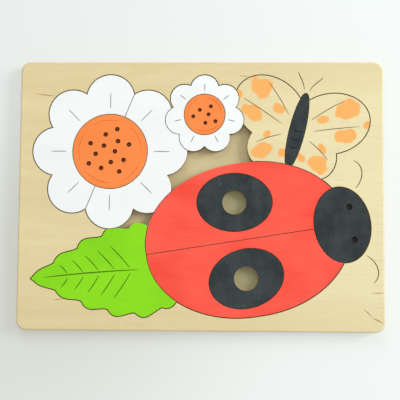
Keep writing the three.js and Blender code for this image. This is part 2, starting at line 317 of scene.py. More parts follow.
engraving = {
    "depth": 0.5,
    "tipWidth": 0.25,  # share of the width left at both ends
    "swell": 0.4,  # power of the half sine that a line swells by
    "section": 1.6,  # power of the rise from a line's middle to its sides
    "steps": 26,  # along a line
    "columns": 7,  # across it
    "margin": 1.3,  # least wood between a mark and the piece's edge
    "lip": 0.12,  # flat strip round a mark
    "rimBurn": 0.55,
    "burnRise": 3,  # how soon the burn is full below the rim
}
drilling = {
    "depth": 1.1,
    "share": 0.32,  # of the diameter that a small dot is deep at most
    "sides": 24,
    # shares of the radius and depth, and the burn: a broken edge, a steep charred side, a shallow cone
    "rows": ((1, 0, 1), (0.94, 0.18, 2), (0.8, 0.7, 2), (0.5, 0.92, 1.45), (0.12, 1, 1.4)),
}


# A line to engrave, smooth by a few points: a cubic Bezier curve for four of them, a parabola for three, a
# straight line for two, all from the same Bernstein sum. Gives its path, its width and its burn.
def lineBy(points, width, burn=1.0):
    points = np.array(points, float)
    degree = len(points) - 1
    t = np.linspace(0, 1, engraving["steps"])[:, None]
    weights = np.concatenate(
        [math.comb(degree, k) * t**k * (1 - t) ** (degree - k) for k in range(degree + 1)], 1)
    return weights @ points, width, burn


# A line of V section along a path, inside a flat lip: half width and depth grow from the ends as a half sine
# to a power. Gives the points and the burn at each.
def grooveGrid(path, width, burn, top):
    heading = unit(np.gradient(path, axis=0))
    aside = np.stack([-heading[:, 1], heading[:, 0]], 1)
    swell = np.sin(np.linspace(0, math.pi, len(path))) ** engraving["swell"]
    swell[[0, -1]] = 0
    half = (width / 2 * (engraving["tipWidth"] + (1 - engraving["tipWidth"]) * swell))[:, None]
    across = np.linspace(1, -1, engraving["columns"])
    reach = np.concatenate([half + engraving["lip"], half * across, -half - engraving["lip"]], 1)
    fall = np.pad(swell[:, None] * (1 - np.abs(across) ** engraving["section"]), ((0, 0), (1, 1)))
    flat = path[:, None] + aside[:, None] * reach[:, :, None]
    rising = fall[1:-1, 1:-1] * engraving["burnRise"]
    browned = np.pad(np.clip(rising, engraving["rimBurn"], 1), 1) * burn
    return np.concatenate([flat, (top - engraving["depth"] * fall)[:, :, None]], 2), browned


# The points and quads of a groove. Gives the numbers round its rim, down one side and back up the other.
def addGroove(shape, grid, burn):
    numbers = addPoints(shape, grid, 1, burn)
    addQuads(shape, numbers[::-1], False)
    return np.concatenate([numbers[:-1, 0], numbers[-1, :-1], numbers[:0:-1, -1], numbers[0, :0:-1]])


# A drilled dot: a profile turned about its centre, inside a flat lip, and closed by a small flat face.
def addDot(shape, centre, diameter, top):
    turn = np.linspace(0, 2 * math.pi, drilling["sides"], endpoint=False)
    lip = (1 + 2 * engraving["lip"] / diameter, 0, 0)
    spread, fall, burn = np.array([lip, *drilling["rows"]]).T
    radius = (spread * diameter / 2)[:, None]
    height = top - fall * min(drilling["depth"], diameter * drilling["share"])
    grid = np.stack([
        centre[0] + radius * np.cos(turn),
        centre[1] + radius * np.sin(turn),
        np.broadcast_to(height[:, None], (len(spread), len(turn))),
    ], 2)
    numbers = addPoints(shape, grid, 1, burn[:, None])
    addQuads(shape, numbers[::-1], True)
    shape["faces"].append(numbers[-1].tolist())
    return numbers[0]


# True where every point of a mark lies inside the rings, with no outline point closer than the margin.
def fits(points, rings):
    near = np.linalg.norm(np.concatenate(rings) - points[:, None], axis=2).min()
    return near > engraving["margin"] and inside(points, rings).all()


# A piece sawn from a sheet, named for its node and its look, round the outlines that the node has. Marks are
# cut into its top face: lines are (path, width, burn) and dots are (centre, diameter). Outer and inner give
# the profile of the widest outline and of the others, from a top and a bottom height.
def sawnPiece(node, look, body, finish, lines=(), dots=(), outer=None, inner=sawnProfile):
    low, high = (np.array(corner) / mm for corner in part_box(node))
    rings = [smoothed(ring) for ring in ringsOf(node)]
    rings.sort(key=lambda ring: np.ptp(ring[:, 0]), reverse=True)
    shape = emptyShape()
    tops = []
    bottoms = []
    for place, (ring, (inward, room)) in enumerate(zip(rings, inwardOf(rings))):
        profile = (outer if outer and place == 0 else inner)(high[2], low[2])
        first, last = addWall(shape, ring, inward, room, profile)
        tops.append(first)
        bottoms.append(last)
    kept = 0
    for line in lines:
        grid, burn = grooveGrid(*line, high[2])
        tested = grid[:, ::engraving["columns"] // 2, :2]
        if fits(tested.reshape(-1, 2), rings):
            tops.append(addGroove(shape, grid, burn))
            kept += 1
    for centre, diameter in dots:
        around = centre + diameter / 2 * np.array([(1, 0), (0, 1), (-1, 0), (0, -1)])
        if fits(around, rings):
            tops.append(addDot(shape, centre, diameter, high[2]))
            kept += 1
    addFill(shape, tops, True)
    addFill(shape, bottoms, False)
    made = objectOf(f"{node}_{look}", shape, finish)
    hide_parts(node)
    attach(made, body)
    print(f"{made.name}: {len(made.data.polygons)} faces, {kept} of {len(lines) + len(dots)} marks")


# Building blocks of the finishes

# An empty material, its node tree, and the place of each point on the piece.
def newFinish(name):
    finish = bpy.data.materials.new(name)
    finish.use_nodes = True
    tree = finish.node_tree
    tree.nodes.clear()
    return finish, tree, addNode(tree, "TexCoord", {}).outputs["Object"]


# A shader node with its settings and inputs: a socket is linked, and a plain value is set.
def addNode(tree, kind, inputs, **settings):
    made = tree.nodes.new("ShaderNode" + kind)
    for key, value in settings.items():
        setattr(made, key, value)
    for key, value in inputs.items():
        if isinstance(value, bpy.types.NodeSocket):
            tree.links.new(value, made.inputs[key])
        else:
            made.inputs[key].default_value = value
    return made


# One step of arithmetic on up to three values.
def calc(tree, operation, a, b=0.0, c=0.0):
    return addNode(tree, "Math", {0: a, 1: b, 2: c}, operation=operation).outputs[0]


# Colour a where the factor is 0 and b where it is 1. In the mode MULTIPLY, b tints a instead of covering it.
def blendColour(tree, factor, a, b, mode="MIX"):
    made = addNode(tree, "Mix", {0: factor, 6: a, 7: b}, data_type="RGBA", blend_type=mode)
    return made.outputs[2]  # this and the inputs 6 and 7 are the sockets for colours


# 0 up to the low bound and full from the high one on, with a smooth S between them.
def step(tree, value, low, high, full=1.0):
    made = addNode(
        tree, "MapRange", {"Value": value, "From Min": low, "From Max": high, "To Max": full},
        interpolation_type="SMOOTHSTEP")
    return made.outputs[0]


# A colour written as 0 to 255 on a screen, as the light that it stands for, by the curve that screens share.
def screen(red, green, blue):
    share = np.array([red, green, blue]) / 255
    light = np.where(share <= 0.04045, share / 12.92, ((share + 0.055) / 1.055) ** 2.4)
    return (*light.tolist(), 1.0)


# A pattern's noise, drawn out by its waves in a metre along each axis. A shift gives another stretch of it.
def streaks(tree, place, pattern, shift=0):
    start = pattern.get("shift", 0) + shift
    drawn = addNode(tree, "Mapping", {"Vector": place, "Scale": pattern["waves"], "Location": (start,) * 3})
    noise = addNode(
        tree, "TexNoise",
        {"Vector": drawn.outputs[0], "Scale": 1.0, "Detail": pattern["detail"],
         "Roughness": pattern.get("rough", 0.5)})
    return noise.outputs[0]


# How far a pattern shows by some value: not at all up to its first bound, and in full from its second on.
def shown(tree, value, pattern):
    return step(tree, value, *pattern["bounds"], pattern.get("full", 1))


# A pattern's own streaks, as far as they show.
def shownStreaks(tree, place, pattern, shift=0):
    return shown(tree, streaks(tree, place, pattern, shift), pattern)


# A colour with others laid over it in order, each by its own amount.
def covered(tree, colour, covers):
    for amount, cover in covers:
        colour = blendColour(tree, amount, colour, cover)
    return colour


# Noise that strays by half a reach to either side of 0.
def stray(tree, noise, reach):
    return calc(tree, "MULTIPLY_ADD", noise, reach, -reach / 2)


dash = {
    "scatter": 0.7,  # how far a dash may lie from the middle of its cell
    "shortest": 0.4,  # length of the shortest dash, where the longest has 1 more
    "softness": 0.8,  # of the outline
    "cutoff": 0.02,  # softness of the choice of cells
}


# Short dashes strewn over the XY plane, tapered to both ends by a parabola: one in each cell of a grid, kept
# in a share of the cells and leaning either way by a slope. The whole grid may be turned by some degrees.
def dashes(tree, place, pattern):
    (long, wide), share = pattern["cell"], pattern["share"]
    turned = addNode(
        tree, "Mapping", {"Vector": place, "Rotation": (0, 0, math.radians(pattern.get("turn", 0)))})
    scaled = addNode(
        tree, "Mapping",
        {"Vector": turned.outputs[0], "Scale": (1 / (long * mm), 1 / (wide * mm), 0)}).outputs[0]
    cells = addNode(
        tree, "TexVoronoi", {"Vector": scaled, "Scale": 1.0, "Randomness": dash["scatter"]},
        voronoi_dimensions="2D").outputs
    away = addNode(tree, "VectorMath", {0: scaled, 1: cells["Position"]}, operation="SUBTRACT")
    x, y, _ = addNode(tree, "SeparateXYZ", {0: away.outputs[0]}).outputs
    chance, slope, size = addNode(tree, "SeparateColor", {0: cells["Color"]}).outputs
    along = calc(tree, "MULTIPLY", x, 2 * long / pattern["length"])
    along = calc(tree, "DIVIDE", along, calc(tree, "ADD", size, dash["shortest"]))
    taper = calc(tree, "SUBTRACT", 1.0, calc(tree, "MULTIPLY", along, along))
    leaning = stray(tree, slope, 2 * pattern["lean"] * long / wide)
    aside = calc(tree, "ABSOLUTE", calc(tree, "MULTIPLY_ADD", x, leaning, y))
    within = calc(tree, "SUBTRACT", taper, calc(tree, "MULTIPLY", aside, 2 * wide / pattern["width"]))
    kept = step(tree, chance, 1 - share, 1 - share + dash["cutoff"])
    return calc(tree, "MULTIPLY", step(tree, within, 0, dash["softness"], pattern.get("full", 1)), kept)


# 1 inside any of some ellipses, each given by its middle, length, width and turn, fading out over a share of
# its radius. An offset makes the outlines uneven.
def ellipses(tree, place, spots, fade, uneven=0.0):
    cover = 0.0
    for (x, y), length, width, turn in spots:
        centred = addNode(
            tree, "Mapping",
            {"Vector": place, "Location": (x * mm, y * mm, 0), "Rotation": (0, 0, math.radians(turn)),
             "Scale": (length / 2 * mm, width / 2 * mm, 1)}, vector_type="TEXTURE")
        away = addNode(tree, "VectorMath", {0: centred.outputs[0]}, operation="LENGTH")
        within = step(tree, calc(tree, "ADD", away.outputs["Value"], uneven), 1, 1 - fade)
        cover = calc(tree, "MAXIMUM", within, cover)
    return cover


# Plywood

wood = {
    "pale": screen(234, 219, 172),
    "deep": screen(227, 209, 160),
    "fibre": screen(216, 195, 145),
    "rosy": screen(230, 206, 158),
    # painted light: the colour that the sheet's brighter right end is painted towards
    "paintedLitEnd": screen(236, 228, 184),
    "line": screen(206, 172, 122),
    "streak": screen(160, 84, 44),
    "fleck": screen(245, 236, 202),
    "crossPly": screen(196, 164, 112),
    "rim": screen(104, 70, 42),
    "scorch": screen(140, 92, 54),
    "char": screen(84, 52, 30),
    "soot": screen(30, 24, 18),
    "holeShade": (0.63, 0.685, 0.665, 1),  # painted shade: multiplies the wood at the floors of the finger holes
}
grain = {
    "bend": {"waves": (8, 14, 14), "shift": 1, "detail": 1, "reach": 34},  # the grain follows it
    "bands": {"waves": (7, 60, 60), "detail": 3, "bounds": (0.3, 0.7)},
    "patches": {"waves": (40, 75, 75), "shift": 9, "detail": 2, "bounds": (0.46, 0.7), "full": 0.45},
    "fibres": {"waves": (24, 1100, 1100), "shift": 3, "detail": 3, "bounds": (0.5, 0.85), "full": 0.4},
    # painted light: the sheet is painted paler towards its right end, where the lamps stand
    "paintedLitEnd": {"bounds": (-60 * mm, 170 * mm), "full": 0.68},  # along the sheet from its middle
    "longSides": {"bounds": (70 * mm, 115 * mm), "full": 0.35},  # to either side of its middle
    "flecks": {"cell": (9, 4), "length": 5, "width": 0.5, "share": 0.3, "lean": 0.1, "full": 0.5},
    "lines": {"cell": (34, 8), "length": 24, "width": 0.8, "share": 0.4, "lean": 0.08, "full": 0.3},
    "pores": {"cell": (12, 5), "length": 8, "width": 0.6, "share": 0.4, "lean": 0.06, "full": 0.3},
}


# Face grain along X, bent by slow waves: broad soft bands, and over them rosy patches, fine fibres, pale
# flecks, faint thin lines and short dark pores. Painted light makes one end paler; the long sides are
# deeper.
def grainWithPaintedLight(tree, place, shift):
    bend = calc(tree, "MULTIPLY", streaks(tree, place, grain["bend"], shift), grain["bend"]["reach"] * mm)
    sideways = addNode(tree, "CombineXYZ", {"Y": bend})
    bent = addNode(tree, "VectorMath", {0: place, 1: sideways.outputs[0]}).outputs[0]
    moved = addNode(tree, "Mapping", {"Vector": bent, "Location": (shift * mm, shift * mm, 0)})
    fibres = streaks(tree, bent, grain["fibres"], shift)
    along, aside, _ = addNode(tree, "SeparateXYZ", {0: place}).outputs
    covers = (
        (shownStreaks(tree, bent, grain["bands"], shift), wood["pale"]),
        (shownStreaks(tree, place, grain["patches"], shift), wood["rosy"]),
        (shown(tree, along, grain["paintedLitEnd"]), wood["paintedLitEnd"]),
        (shown(tree, calc(tree, "ABSOLUTE", aside), grain["longSides"]), wood["fibre"]),
        (shown(tree, fibres, grain["fibres"]), wood["fibre"]),
        (dashes(tree, moved.outputs[0], grain["flecks"]), wood["fleck"]),
        (dashes(tree, moved.outputs[0], grain["lines"]), wood["line"]),
        (dashes(tree, moved.outputs[0], grain["pores"]), wood["line"]),
    )
    return covered(tree, wood["deep"], covers), fibres


plies = {
    "sheet": 5,  # layers in the frame's sheet
    "base": 3,
    "wobble": {"waves": (40, 40, 5), "shift": 2, "detail": 2, "reach": 0.25},
    "specks": {"waves": (1500, 1500, 900), "shift": 5, "detail": 1, "bounds": (0.45, 0.75), "full": 0.8},
    "fibres": {"waves": (60, 60, 2500), "shift": 9, "detail": 2},
    "swap": {"bounds": (0.5, 0.8)},  # share of a wall's outward direction that is along X
    "seam": {"bounds": (-0.25, 0.25)},  # of the wave, between one layer and the next
}


# The heights, in metres, of a node's underside and of each of its layers.
def layersOf(node, count):
    low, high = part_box(node)
    return {"bottom": low[2], "thickness": (high[2] - low[2]) / count}


# The layers seen on an edge: the sign of a sine up the sheet, with end-grain specks in every other layer.
# The layers change roles on the sides that face along X.
def layerColour(tree, place, bottom, thickness):
    height = addNode(tree, "SeparateXYZ", {0: place}).outputs[2]
    wobble = calc(tree, "MULTIPLY", streaks(tree, place, plies["wobble"]), plies["wobble"]["reach"] * mm)
    raised = calc(tree, "ADD", calc(tree, "SUBTRACT", height, bottom), wobble)
    wave = calc(tree, "SINE", calc(tree, "MULTIPLY", raised, math.pi / thickness))
    outward = addNode(tree, "NewGeometry", {}).outputs["Normal"]
    endways = calc(tree, "ABSOLUTE", addNode(tree, "SeparateXYZ", {0: outward}).outputs[0])
    swapped = calc(tree, "MULTIPLY_ADD", shown(tree, endways, plies["swap"]), -2.0, 1.0)  # from 1 to -1
    wave = calc(tree, "MULTIPLY", wave, swapped)
    cross = blendColour(tree, shownStreaks(tree, place, plies["specks"]), wood["crossPly"], wood["streak"])
    long = blendColour(tree, streaks(tree, place, plies["fibres"]), wood["deep"], wood["fibre"])
    return blendColour(tree, shown(tree, wave, plies["seam"]), cross, long)


sheetLayers = layersOf("tray_frame", plies["sheet"])
baseLayers = layersOf("tray_base", plies["base"])
edges = {
    "ragged": {"waves": (1400, 1400, 1400), "shift": 4, "detail": 2, "reach": 0.5},
    "face": {"bounds": (0.35, 0.75)},  # of facing, where the face's colour begins
    "underside": {"bounds": (-0.4, -0.8), "shift": 23},
    "scorch": {"waves": (300, 300, 120), "shift": 8, "detail": 3, "bounds": (0.3, 0.7)},
    "burntFace": {"bounds": (0.1, 0.6)},  # of facing, where burnt wood has the face's own burn
    "brown": {"bounds": (0.15, 0.85), "full": 0.84, "ragged": 0.6, "rougher": 0.2},
    "charred": {"bounds": (1.1, 1.8), "full": 0.95},
    "bump": 0.5,
}


# Puts a face colour, the bare underside and the edge together: paint ends raggedly at the eased edge, burnt
# wood is scorched brown, a burnt face has its own colour, and charred wood is black. The coat gives the
# gloss, the depth of the relief and the roughness, which grows with a noise.
def finishSheet(tree, place, coat, layers, shift, face, noise, relief, burn):
    facing = addNode(tree, "Attribute", {}, attribute_name="facing").outputs["Fac"]
    burnt = addNode(tree, "Attribute", {}, attribute_name="burnt").outputs["Fac"]
    ragged = stray(tree, streaks(tree, place, edges["ragged"]), edges["ragged"]["reach"])
    under, _ = grainWithPaintedLight(tree, place, shift + edges["underside"]["shift"])
    scorched = covered(tree, wood["char"], (
        (shownStreaks(tree, place, edges["scorch"]), wood["scorch"]),
        (shown(tree, facing, edges["burntFace"]), burn),
    ))
    raggedBurn = calc(tree, "MULTIPLY_ADD", ragged, edges["brown"]["ragged"], burnt)
    brown = shown(tree, raggedBurn, edges["brown"])
    colour = covered(tree, layerColour(tree, place, **layers), (
        (shown(tree, facing, edges["underside"]), under),
        (shown(tree, calc(tree, "ADD", facing, ragged), edges["face"]), face),
        (brown, scorched),
        (shown(tree, burnt, edges["charred"]), wood["soot"]),
    ))
    rough = calc(tree, "MULTIPLY_ADD", noise, coat["rougher"], coat["rough"])
    rough = calc(tree, "MULTIPLY_ADD", brown, edges["brown"]["rougher"], rough)
    bump = addNode(
        tree, "Bump",
        {"Height": relief, "Strength": edges["bump"], "Distance": coat["relief"] * mm})
    shader = addNode(
        tree, "BsdfPrincipled",
        {"Base Color": colour, "Roughness": rough, "Normal": bump.outputs[0],
         "Specular IOR Level": coat["gloss"]})
    addNode(tree, "OutputMaterial", {"Surface": shader.outputs[0]})


bareCoat = {
    "rough": 0.58, "rougher": 0.2, "relief": 0.05, "gloss": 0.12,
    # the last fade is that of the painted shade under the finger holes
    "streakFade": 0.9, "streakFull": 0.85, "holeShadeFade": 0.5,
}


# Bare plywood, tinted as painted shade, with thin reddish streaks at some places and painted shade at
# others.
def bareWood(name, shift, layers, shadeTint=(1, 1, 1, 1), marks=(), holeShade=()):
    finish, tree, place = newFinish(name)
    face, fibres = grainWithPaintedLight(tree, place, shift)
    # A tint below 1 is painted shade.
    face = blendColour(tree, 1.0, face, shadeTint, "MULTIPLY")
    reddish = ellipses(tree, place, marks, bareCoat["streakFade"])
    face = blendColour(tree, calc(tree, "MULTIPLY", reddish, bareCoat["streakFull"]), face, wood["streak"])
    # Painted shade at the floors of the finger holes.
    holeShaded = ellipses(tree, place, holeShade, bareCoat["holeShadeFade"])
    face = blendColour(tree, holeShaded, face, wood["holeShade"], "MULTIPLY")
    finishSheet(tree, place, bareCoat, layers, shift, face, fibres, fibres, wood["rim"])
    return finish


# Paints

paints = {  # a colour, its shade and its burnt lines, as on a screen
    "red": ((255, 97, 80), (245, 68, 52), (150, 42, 28)),
    "white": ((247, 250, 249), (240, 244, 242), (116, 96, 74)),
    "orange": ((255, 144, 76), (250, 136, 68), (140, 66, 30)),
    "green": ((143, 226, 32), (128, 212, 26), (78, 92, 26)),
}
thinCoat = {
    "clouds": {"waves": (24, 40, 40), "detail": 2, "bounds": (0.3, 0.75), "full": 0.6},
    "fibres": {"waves": (40, 1300, 1300), "shift": 3, "detail": 3, "bounds": (0.45, 0.8), "full": 0.45},
    "pores": {"waves": (170, 2300, 900), "shift": 5, "detail": 1, "bounds": (0.66, 0.78)},
    "poreShade": 0.35,
    "rough": 0.5, "rougher": 0.16, "relief": 0.04, "gloss": 0.12,
}


# Paint thin enough to show the grain: two tones by soft clouds and by the fibres and pores underneath.
def paintedWood(name, tones, shift):
    finish, tree, place = newFinish(name)
    colour, shade, burn = (screen(*tone) for tone in tones)
    clouds = streaks(tree, place, thinCoat["clouds"], shift)
    fibres = streaks(tree, place, thinCoat["fibres"], shift)
    pores = shownStreaks(tree, place, thinCoat["pores"], shift)
    shaded = calc(
        tree, "ADD", shown(tree, clouds, thinCoat["clouds"]), shown(tree, fibres, thinCoat["fibres"]))
    face = blendColour(tree, shaded, colour, shade)
    face = blendColour(tree, calc(tree, "MULTIPLY", pores, thinCoat["poreShade"]), face, shade)
    relief = calc(tree, "SUBTRACT", fibres, pores)
    finishSheet(tree, place, thinCoat, sheetLayers, shift, face, clouds, relief, burn)
    return finish


blackCoat = {
    "colour": screen(58, 66, 68),
    "shade": screen(39, 46, 48),
    "scuff": screen(112, 120, 118),
    "burn": screen(26, 24, 20),
    "shift": 6,
    "mottle": {"waves": (60, 50, 50), "detail": 4, "rough": 0.6, "bounds": (0.3, 0.7)},
    "patches": {"waves": (55, 40, 40), "shift": 9, "detail": 1, "bounds": (0.5, 0.68), "full": 0.72},
    "fineScuffs": {"cell": (5, 2.2), "length": 5, "width": 0.35, "share": 0.3, "lean": 0.3, "turn": 84},
    "longScuffs": {"cell": (17, 8), "length": 13, "width": 0.4, "share": 0.3, "lean": 0.6, "turn": 70},
    "rough": 0.5, "rougher": 0.2, "relief": 0.04, "gloss": 0.15,
}


# Black paint, mottled, with a few fine scuffs across the grain that gather in patches.
def scuffedPaint(name):
    finish, tree, place = newFinish(name)
    shift = blackCoat["shift"]
    mottle = streaks(tree, place, blackCoat["mottle"], shift)
    fibres = streaks(tree, place, thinCoat["fibres"], shift)
    fine, long = (dashes(tree, place, blackCoat[kind]) for kind in ("fineScuffs", "longScuffs"))
    patches = shownStreaks(tree, place, blackCoat["patches"], shift)
    scuffs = calc(tree, "MULTIPLY", calc(tree, "MAXIMUM", fine, long), patches)
    face = covered(tree, blackCoat["shade"], (
        (shown(tree, mottle, blackCoat["mottle"]), blackCoat["colour"]),
        (scuffs, blackCoat["scuff"]),
    ))
    relief = calc(tree, "ADD", fibres, scuffs)
    finishSheet(tree, place, blackCoat, sheetLayers, shift, face, mottle, relief, blackCoat["burn"])
    return finish


sprayCoat = {
    "colour": screen(250, 178, 98),
    "shift": 31,
    "lumps": {"waves": (95, 95, 95), "shift": 3, "detail": 1, "reach": 1.1},  # in the spots' outlines
    "speckle": {"waves": (900, 900, 900), "shift": 6, "detail": 2, "bounds": (0.2, 0.6), "full": 0.2},
    "thinnest": 0.8,  # cover where no speckle adds to it
    "fade": 0.22,
    "rough": 0.56, "rougher": 0.2, "relief": 0.05, "gloss": 0.12,
}


# Bare wood with sprayed spots of uneven outline, thin enough to speckle.
def sprayedWood(name, spots):
    finish, tree, place = newFinish(name)
    shift = sprayCoat["shift"]
    face, fibres = grainWithPaintedLight(tree, place, shift)
    lumps = stray(tree, streaks(tree, place, sprayCoat["lumps"]), sprayCoat["lumps"]["reach"])
    sprayed = ellipses(tree, place, spots, sprayCoat["fade"], lumps)
    thickness = calc(tree, "ADD", shownStreaks(tree, place, sprayCoat["speckle"]), sprayCoat["thinnest"])
    face = blendColour(tree, calc(tree, "MULTIPLY", sprayed, thickness), face, sprayCoat["colour"])
    finishSheet(tree, place, sprayCoat, sheetLayers, shift, face, fibres, fibres, wood["rim"])
    return finish


redPaint, whitePaint, orangePaint, greenPaint = (
    paintedWood(f"{name} paint on plywood", tones, shift)
    for shift, (name, tones) in enumerate(paints.items(), 1))
scuffedBlack = scuffedPaint("scuffed black paint")
print("paints made:", len(bpy.data.materials))


# Places that the marks are laid out from

# The middle of a node's box, seen from above.
def middleOf(node):
    low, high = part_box(node)
    return np.array((low + high) / 2)[:2] / mm


# Unit vectors at angles in degrees from +X.
def towards(degrees):
    return np.stack([np.cos(np.radians(degrees)), np.sin(np.radians(degrees))], -1)


# Points given in a motif's own axes: each is forward along its heading and aside to the left of it, or to
# the right where the side is -1.
def inAxes(middle, heading, points, side=1):
    return middle + np.array(points) * (1, side) @ towards(np.array([heading, heading + 90]))


# Ladybird: its heading is square to the line from one spot to the other

ladybird = {
    "eye": (8, 13.5),  # forward and aside from the head's middle
    "eyeDiameter": 5.2,
    "antenna": ((15, 27.5), (24, 34), (26, 46), (17, 51)),
    "antennaWidth": 0.9,
}
spotMiddles = [middleOf("wing_spot_upper"), middleOf("wing_spot_lower")]
apart = spotMiddles[0] - spotMiddles[1]
ladybirdHeading = math.degrees(math.atan2(apart[1], apart[0])) - 90
headMiddle = middleOf("ladybird_head")
eyeDots = [
    (inAxes(headMiddle, ladybirdHeading, ladybird["eye"], side), ladybird["eyeDiameter"])
    for side in (1, -1)
]
ladybirdAntennae = [
    lineBy(inAxes(headMiddle, ladybirdHeading, ladybird["antenna"], side), ladybird["antennaWidth"])
    for side in (1, -1)
]
for end in ("upper", "lower"):
    sawnPiece(f"wing_spot_{end}", "painted", f"spot_{end}", scuffedBlack)
    sawnPiece(f"wing_case_{end}", "painted", f"case_{end}", redPaint)
sawnPiece("ladybird_head", "painted", "head", scuffedBlack, dots=eyeDots)


# Daisies: seeds on a spiral, each turned by the golden angle from the one before, and a crease in each petal

daisies = {
    "daisy": {
        "bodies": {"daisy_disc": "disc", "daisy_petals_left": "petals_left",
                   "daisy_petals_right": "petals_right"},
        "petals": 8, "firstPetal": 0, "crease": (35.5, 49.5), "seeds": 13, "seedSpacing": 5.7,
        "seedDiameter": 3.8, "ring": 26, "ringArcs": 5,
    },
    "small_daisy": {
        "bodies": {"small_daisy_disc": "small_disc", "small_daisy_petals": "small_petals"},
        "petals": 7, "firstPetal": 90, "crease": (19.5, 26.0), "seeds": 6, "seedSpacing": 4.5,
        "seedDiameter": 3.2, "ring": 14, "ringArcs": 3,
    },
}
goldenTurn = 180 * (3 - math.sqrt(5))  # degrees from one seed to the next
creaseWidth = 0.6
ringLine = {"width": 0.5, "burn": 0.3, "part": 0.75}  # faint arcs round the seeds

for name, daisy in daisies.items():
    middle = middleOf(f"{name}_disc")
    turns = np.arange(daisy["seeds"])
    seeds = middle + daisy["seedSpacing"] * np.sqrt(turns + 0.5)[:, None] * towards(turns * goldenTurn)
    axes = daisy["firstPetal"] + np.arange(daisy["petals"]) * 360 / daisy["petals"]
    creases = [lineBy(middle + np.outer(daisy["crease"], towards(axis)), creaseWidth) for axis in axes]
    arc = 360 / daisy["ringArcs"]
    starts = np.arange(daisy["ringArcs"]) * arc
    sweeps = [np.linspace(start, start + arc * ringLine["part"], engraving["steps"]) for start in starts]
    arcs = [
        (middle + daisy["ring"] * towards(sweep), ringLine["width"], ringLine["burn"]) for sweep in sweeps]
    for node, body in daisy["bodies"].items():
        if node.endswith("disc"):
            sawnPiece(node, "painted", body, orangePaint, lines=arcs,
                      dots=[(seed, daisy["seedDiameter"]) for seed in seeds])
        else:
            sawnPiece(node, "painted", body, whitePaint, lines=creases)


# Butterfly: its middle lies below and left of the body's top right corner, by the reach of a leaning ellipse

butterfly = {
    "tilt": -14,
    "bodyLength": 64,
    "bodyWidth": 13,
    "rings": (-20, -13, -6, 1),  # along the body from its middle
    "ring": ((0, 3.6), (-2.4, 0), (0, -3.6)),  # along the body from there, and aside
    "upperWing": 26,  # directions from straight sideways
    "lowerWing": -44,
    # place along the wing from the butterfly's middle and aside, then length and width
    "upperSpots": (((45, 9), (23, 18)), ((39, -12), (19, 14)), ((23, 5), (12, 9)), ((58, -7), (10, 8))),
    "lowerSpots": (((33, 1), (19, 15)), ((19, -9), (10, 8)), ((23, 10), (9, 6))),
    "upperVeins": (((13, 6), (28, 13), (44, 16.5)), ((13, -3), (30, -4), (52, -7))),
    "lowerVeins": (((12, 4), (22, 8), (34, 9)),),
    "veinWidth": 0.65,
    "antenna": ((34.5, 2), (42, 4), (45, 9), (49, 10.5)),  # along the body, and aside either way
    "antennaWidth": 0.8,
}
corner = np.array(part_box("butterfly_body")[1])[:2] / mm
half = np.array([butterfly["bodyWidth"], butterfly["bodyLength"]]) / 2
tilt = math.radians(butterfly["tilt"])
reach = np.array([
    math.hypot(half[0] * math.cos(tilt), half[1] * math.sin(tilt)),
    math.hypot(half[0] * math.sin(tilt), half[1] * math.cos(tilt)),
])
butterflyMiddle = corner - reach
wingSpots = []
wingVeins = []
for side in (1, -1):
    sideways = butterfly["tilt"] + (0 if side > 0 else 180)
    for lobe in ("upper", "lower"):
        heading = sideways + side * butterfly[f"{lobe}Wing"]
        wingSpots += [
            (inAxes(butterflyMiddle, heading, place, side), *size, heading)
            for place, size in butterfly[f"{lobe}Spots"]
        ]
        wingVeins += [
            lineBy(inAxes(butterflyMiddle, heading, vein, side), butterfly["veinWidth"])
            for vein in butterfly[f"{lobe}Veins"]
        ]
upright = butterfly["tilt"] + 90
ring = np.array(butterfly["ring"])
bodyRings = [
    lineBy(inAxes(butterflyMiddle, upright, ring + (along, 0)), butterfly["veinWidth"])
    for along in butterfly["rings"]
]
butterflyAntennae = [
    lineBy(inAxes(butterflyMiddle, upright, butterfly["antenna"], side), butterfly["antennaWidth"])
    for side in (1, -1)
]
sprayed = sprayedWood("bare wood with sprayed spots", wingSpots)
for side in ("left", "right"):
    wing = f"butterfly_wing_{side}"
    sawnPiece(wing, "sprayed", wing, sprayed, lines=wingVeins)
sawnPiece("butterfly_body", "painted", "butterfly_body", scuffedBlack, lines=bodyRings)


# Leaf: a midrib from the tip towards the stalk, and pairs of side veins that lean to the tip

leaf = {
    "tilt": 5,
    "midrib": ((9, 0), (49.5, 1.6), (90, 0)),  # along from the tip and aside
    "midribWidth": 1.0,
    "veinsAt": (30, 43, 56, 69, 82),
    "veinPerStation": 0.31,  # length of a vein for each millimetre from the tip
    "veinAngle": 128,  # from the midrib's direction
    "veinStart": 1.7,
    "veinBow": 1.2,
    "veinWidth": 0.75,
}
leafRing = max(ringsOf("leaf"), key=len)
leafTip = leafRing[np.argmin(leafRing[:, 0])]
leafLines = [lineBy(inAxes(leafTip, leaf["tilt"], leaf["midrib"]), leaf["midribWidth"])]
for at in leaf["veinsAt"]:
    start = np.array([at, leaf["veinStart"]])
    end = start + at * leaf["veinPerStation"] * towards(leaf["veinAngle"])
    vein = [start, (start + end) / 2 + (leaf["veinBow"], 0), end]
    leafLines += [lineBy(inAxes(leafTip, leaf["tilt"], vein, side), leaf["veinWidth"]) for side in (1, -1)]
sawnPiece("leaf", "painted", "leaf", greenPaint, lines=leafLines)


# Tray

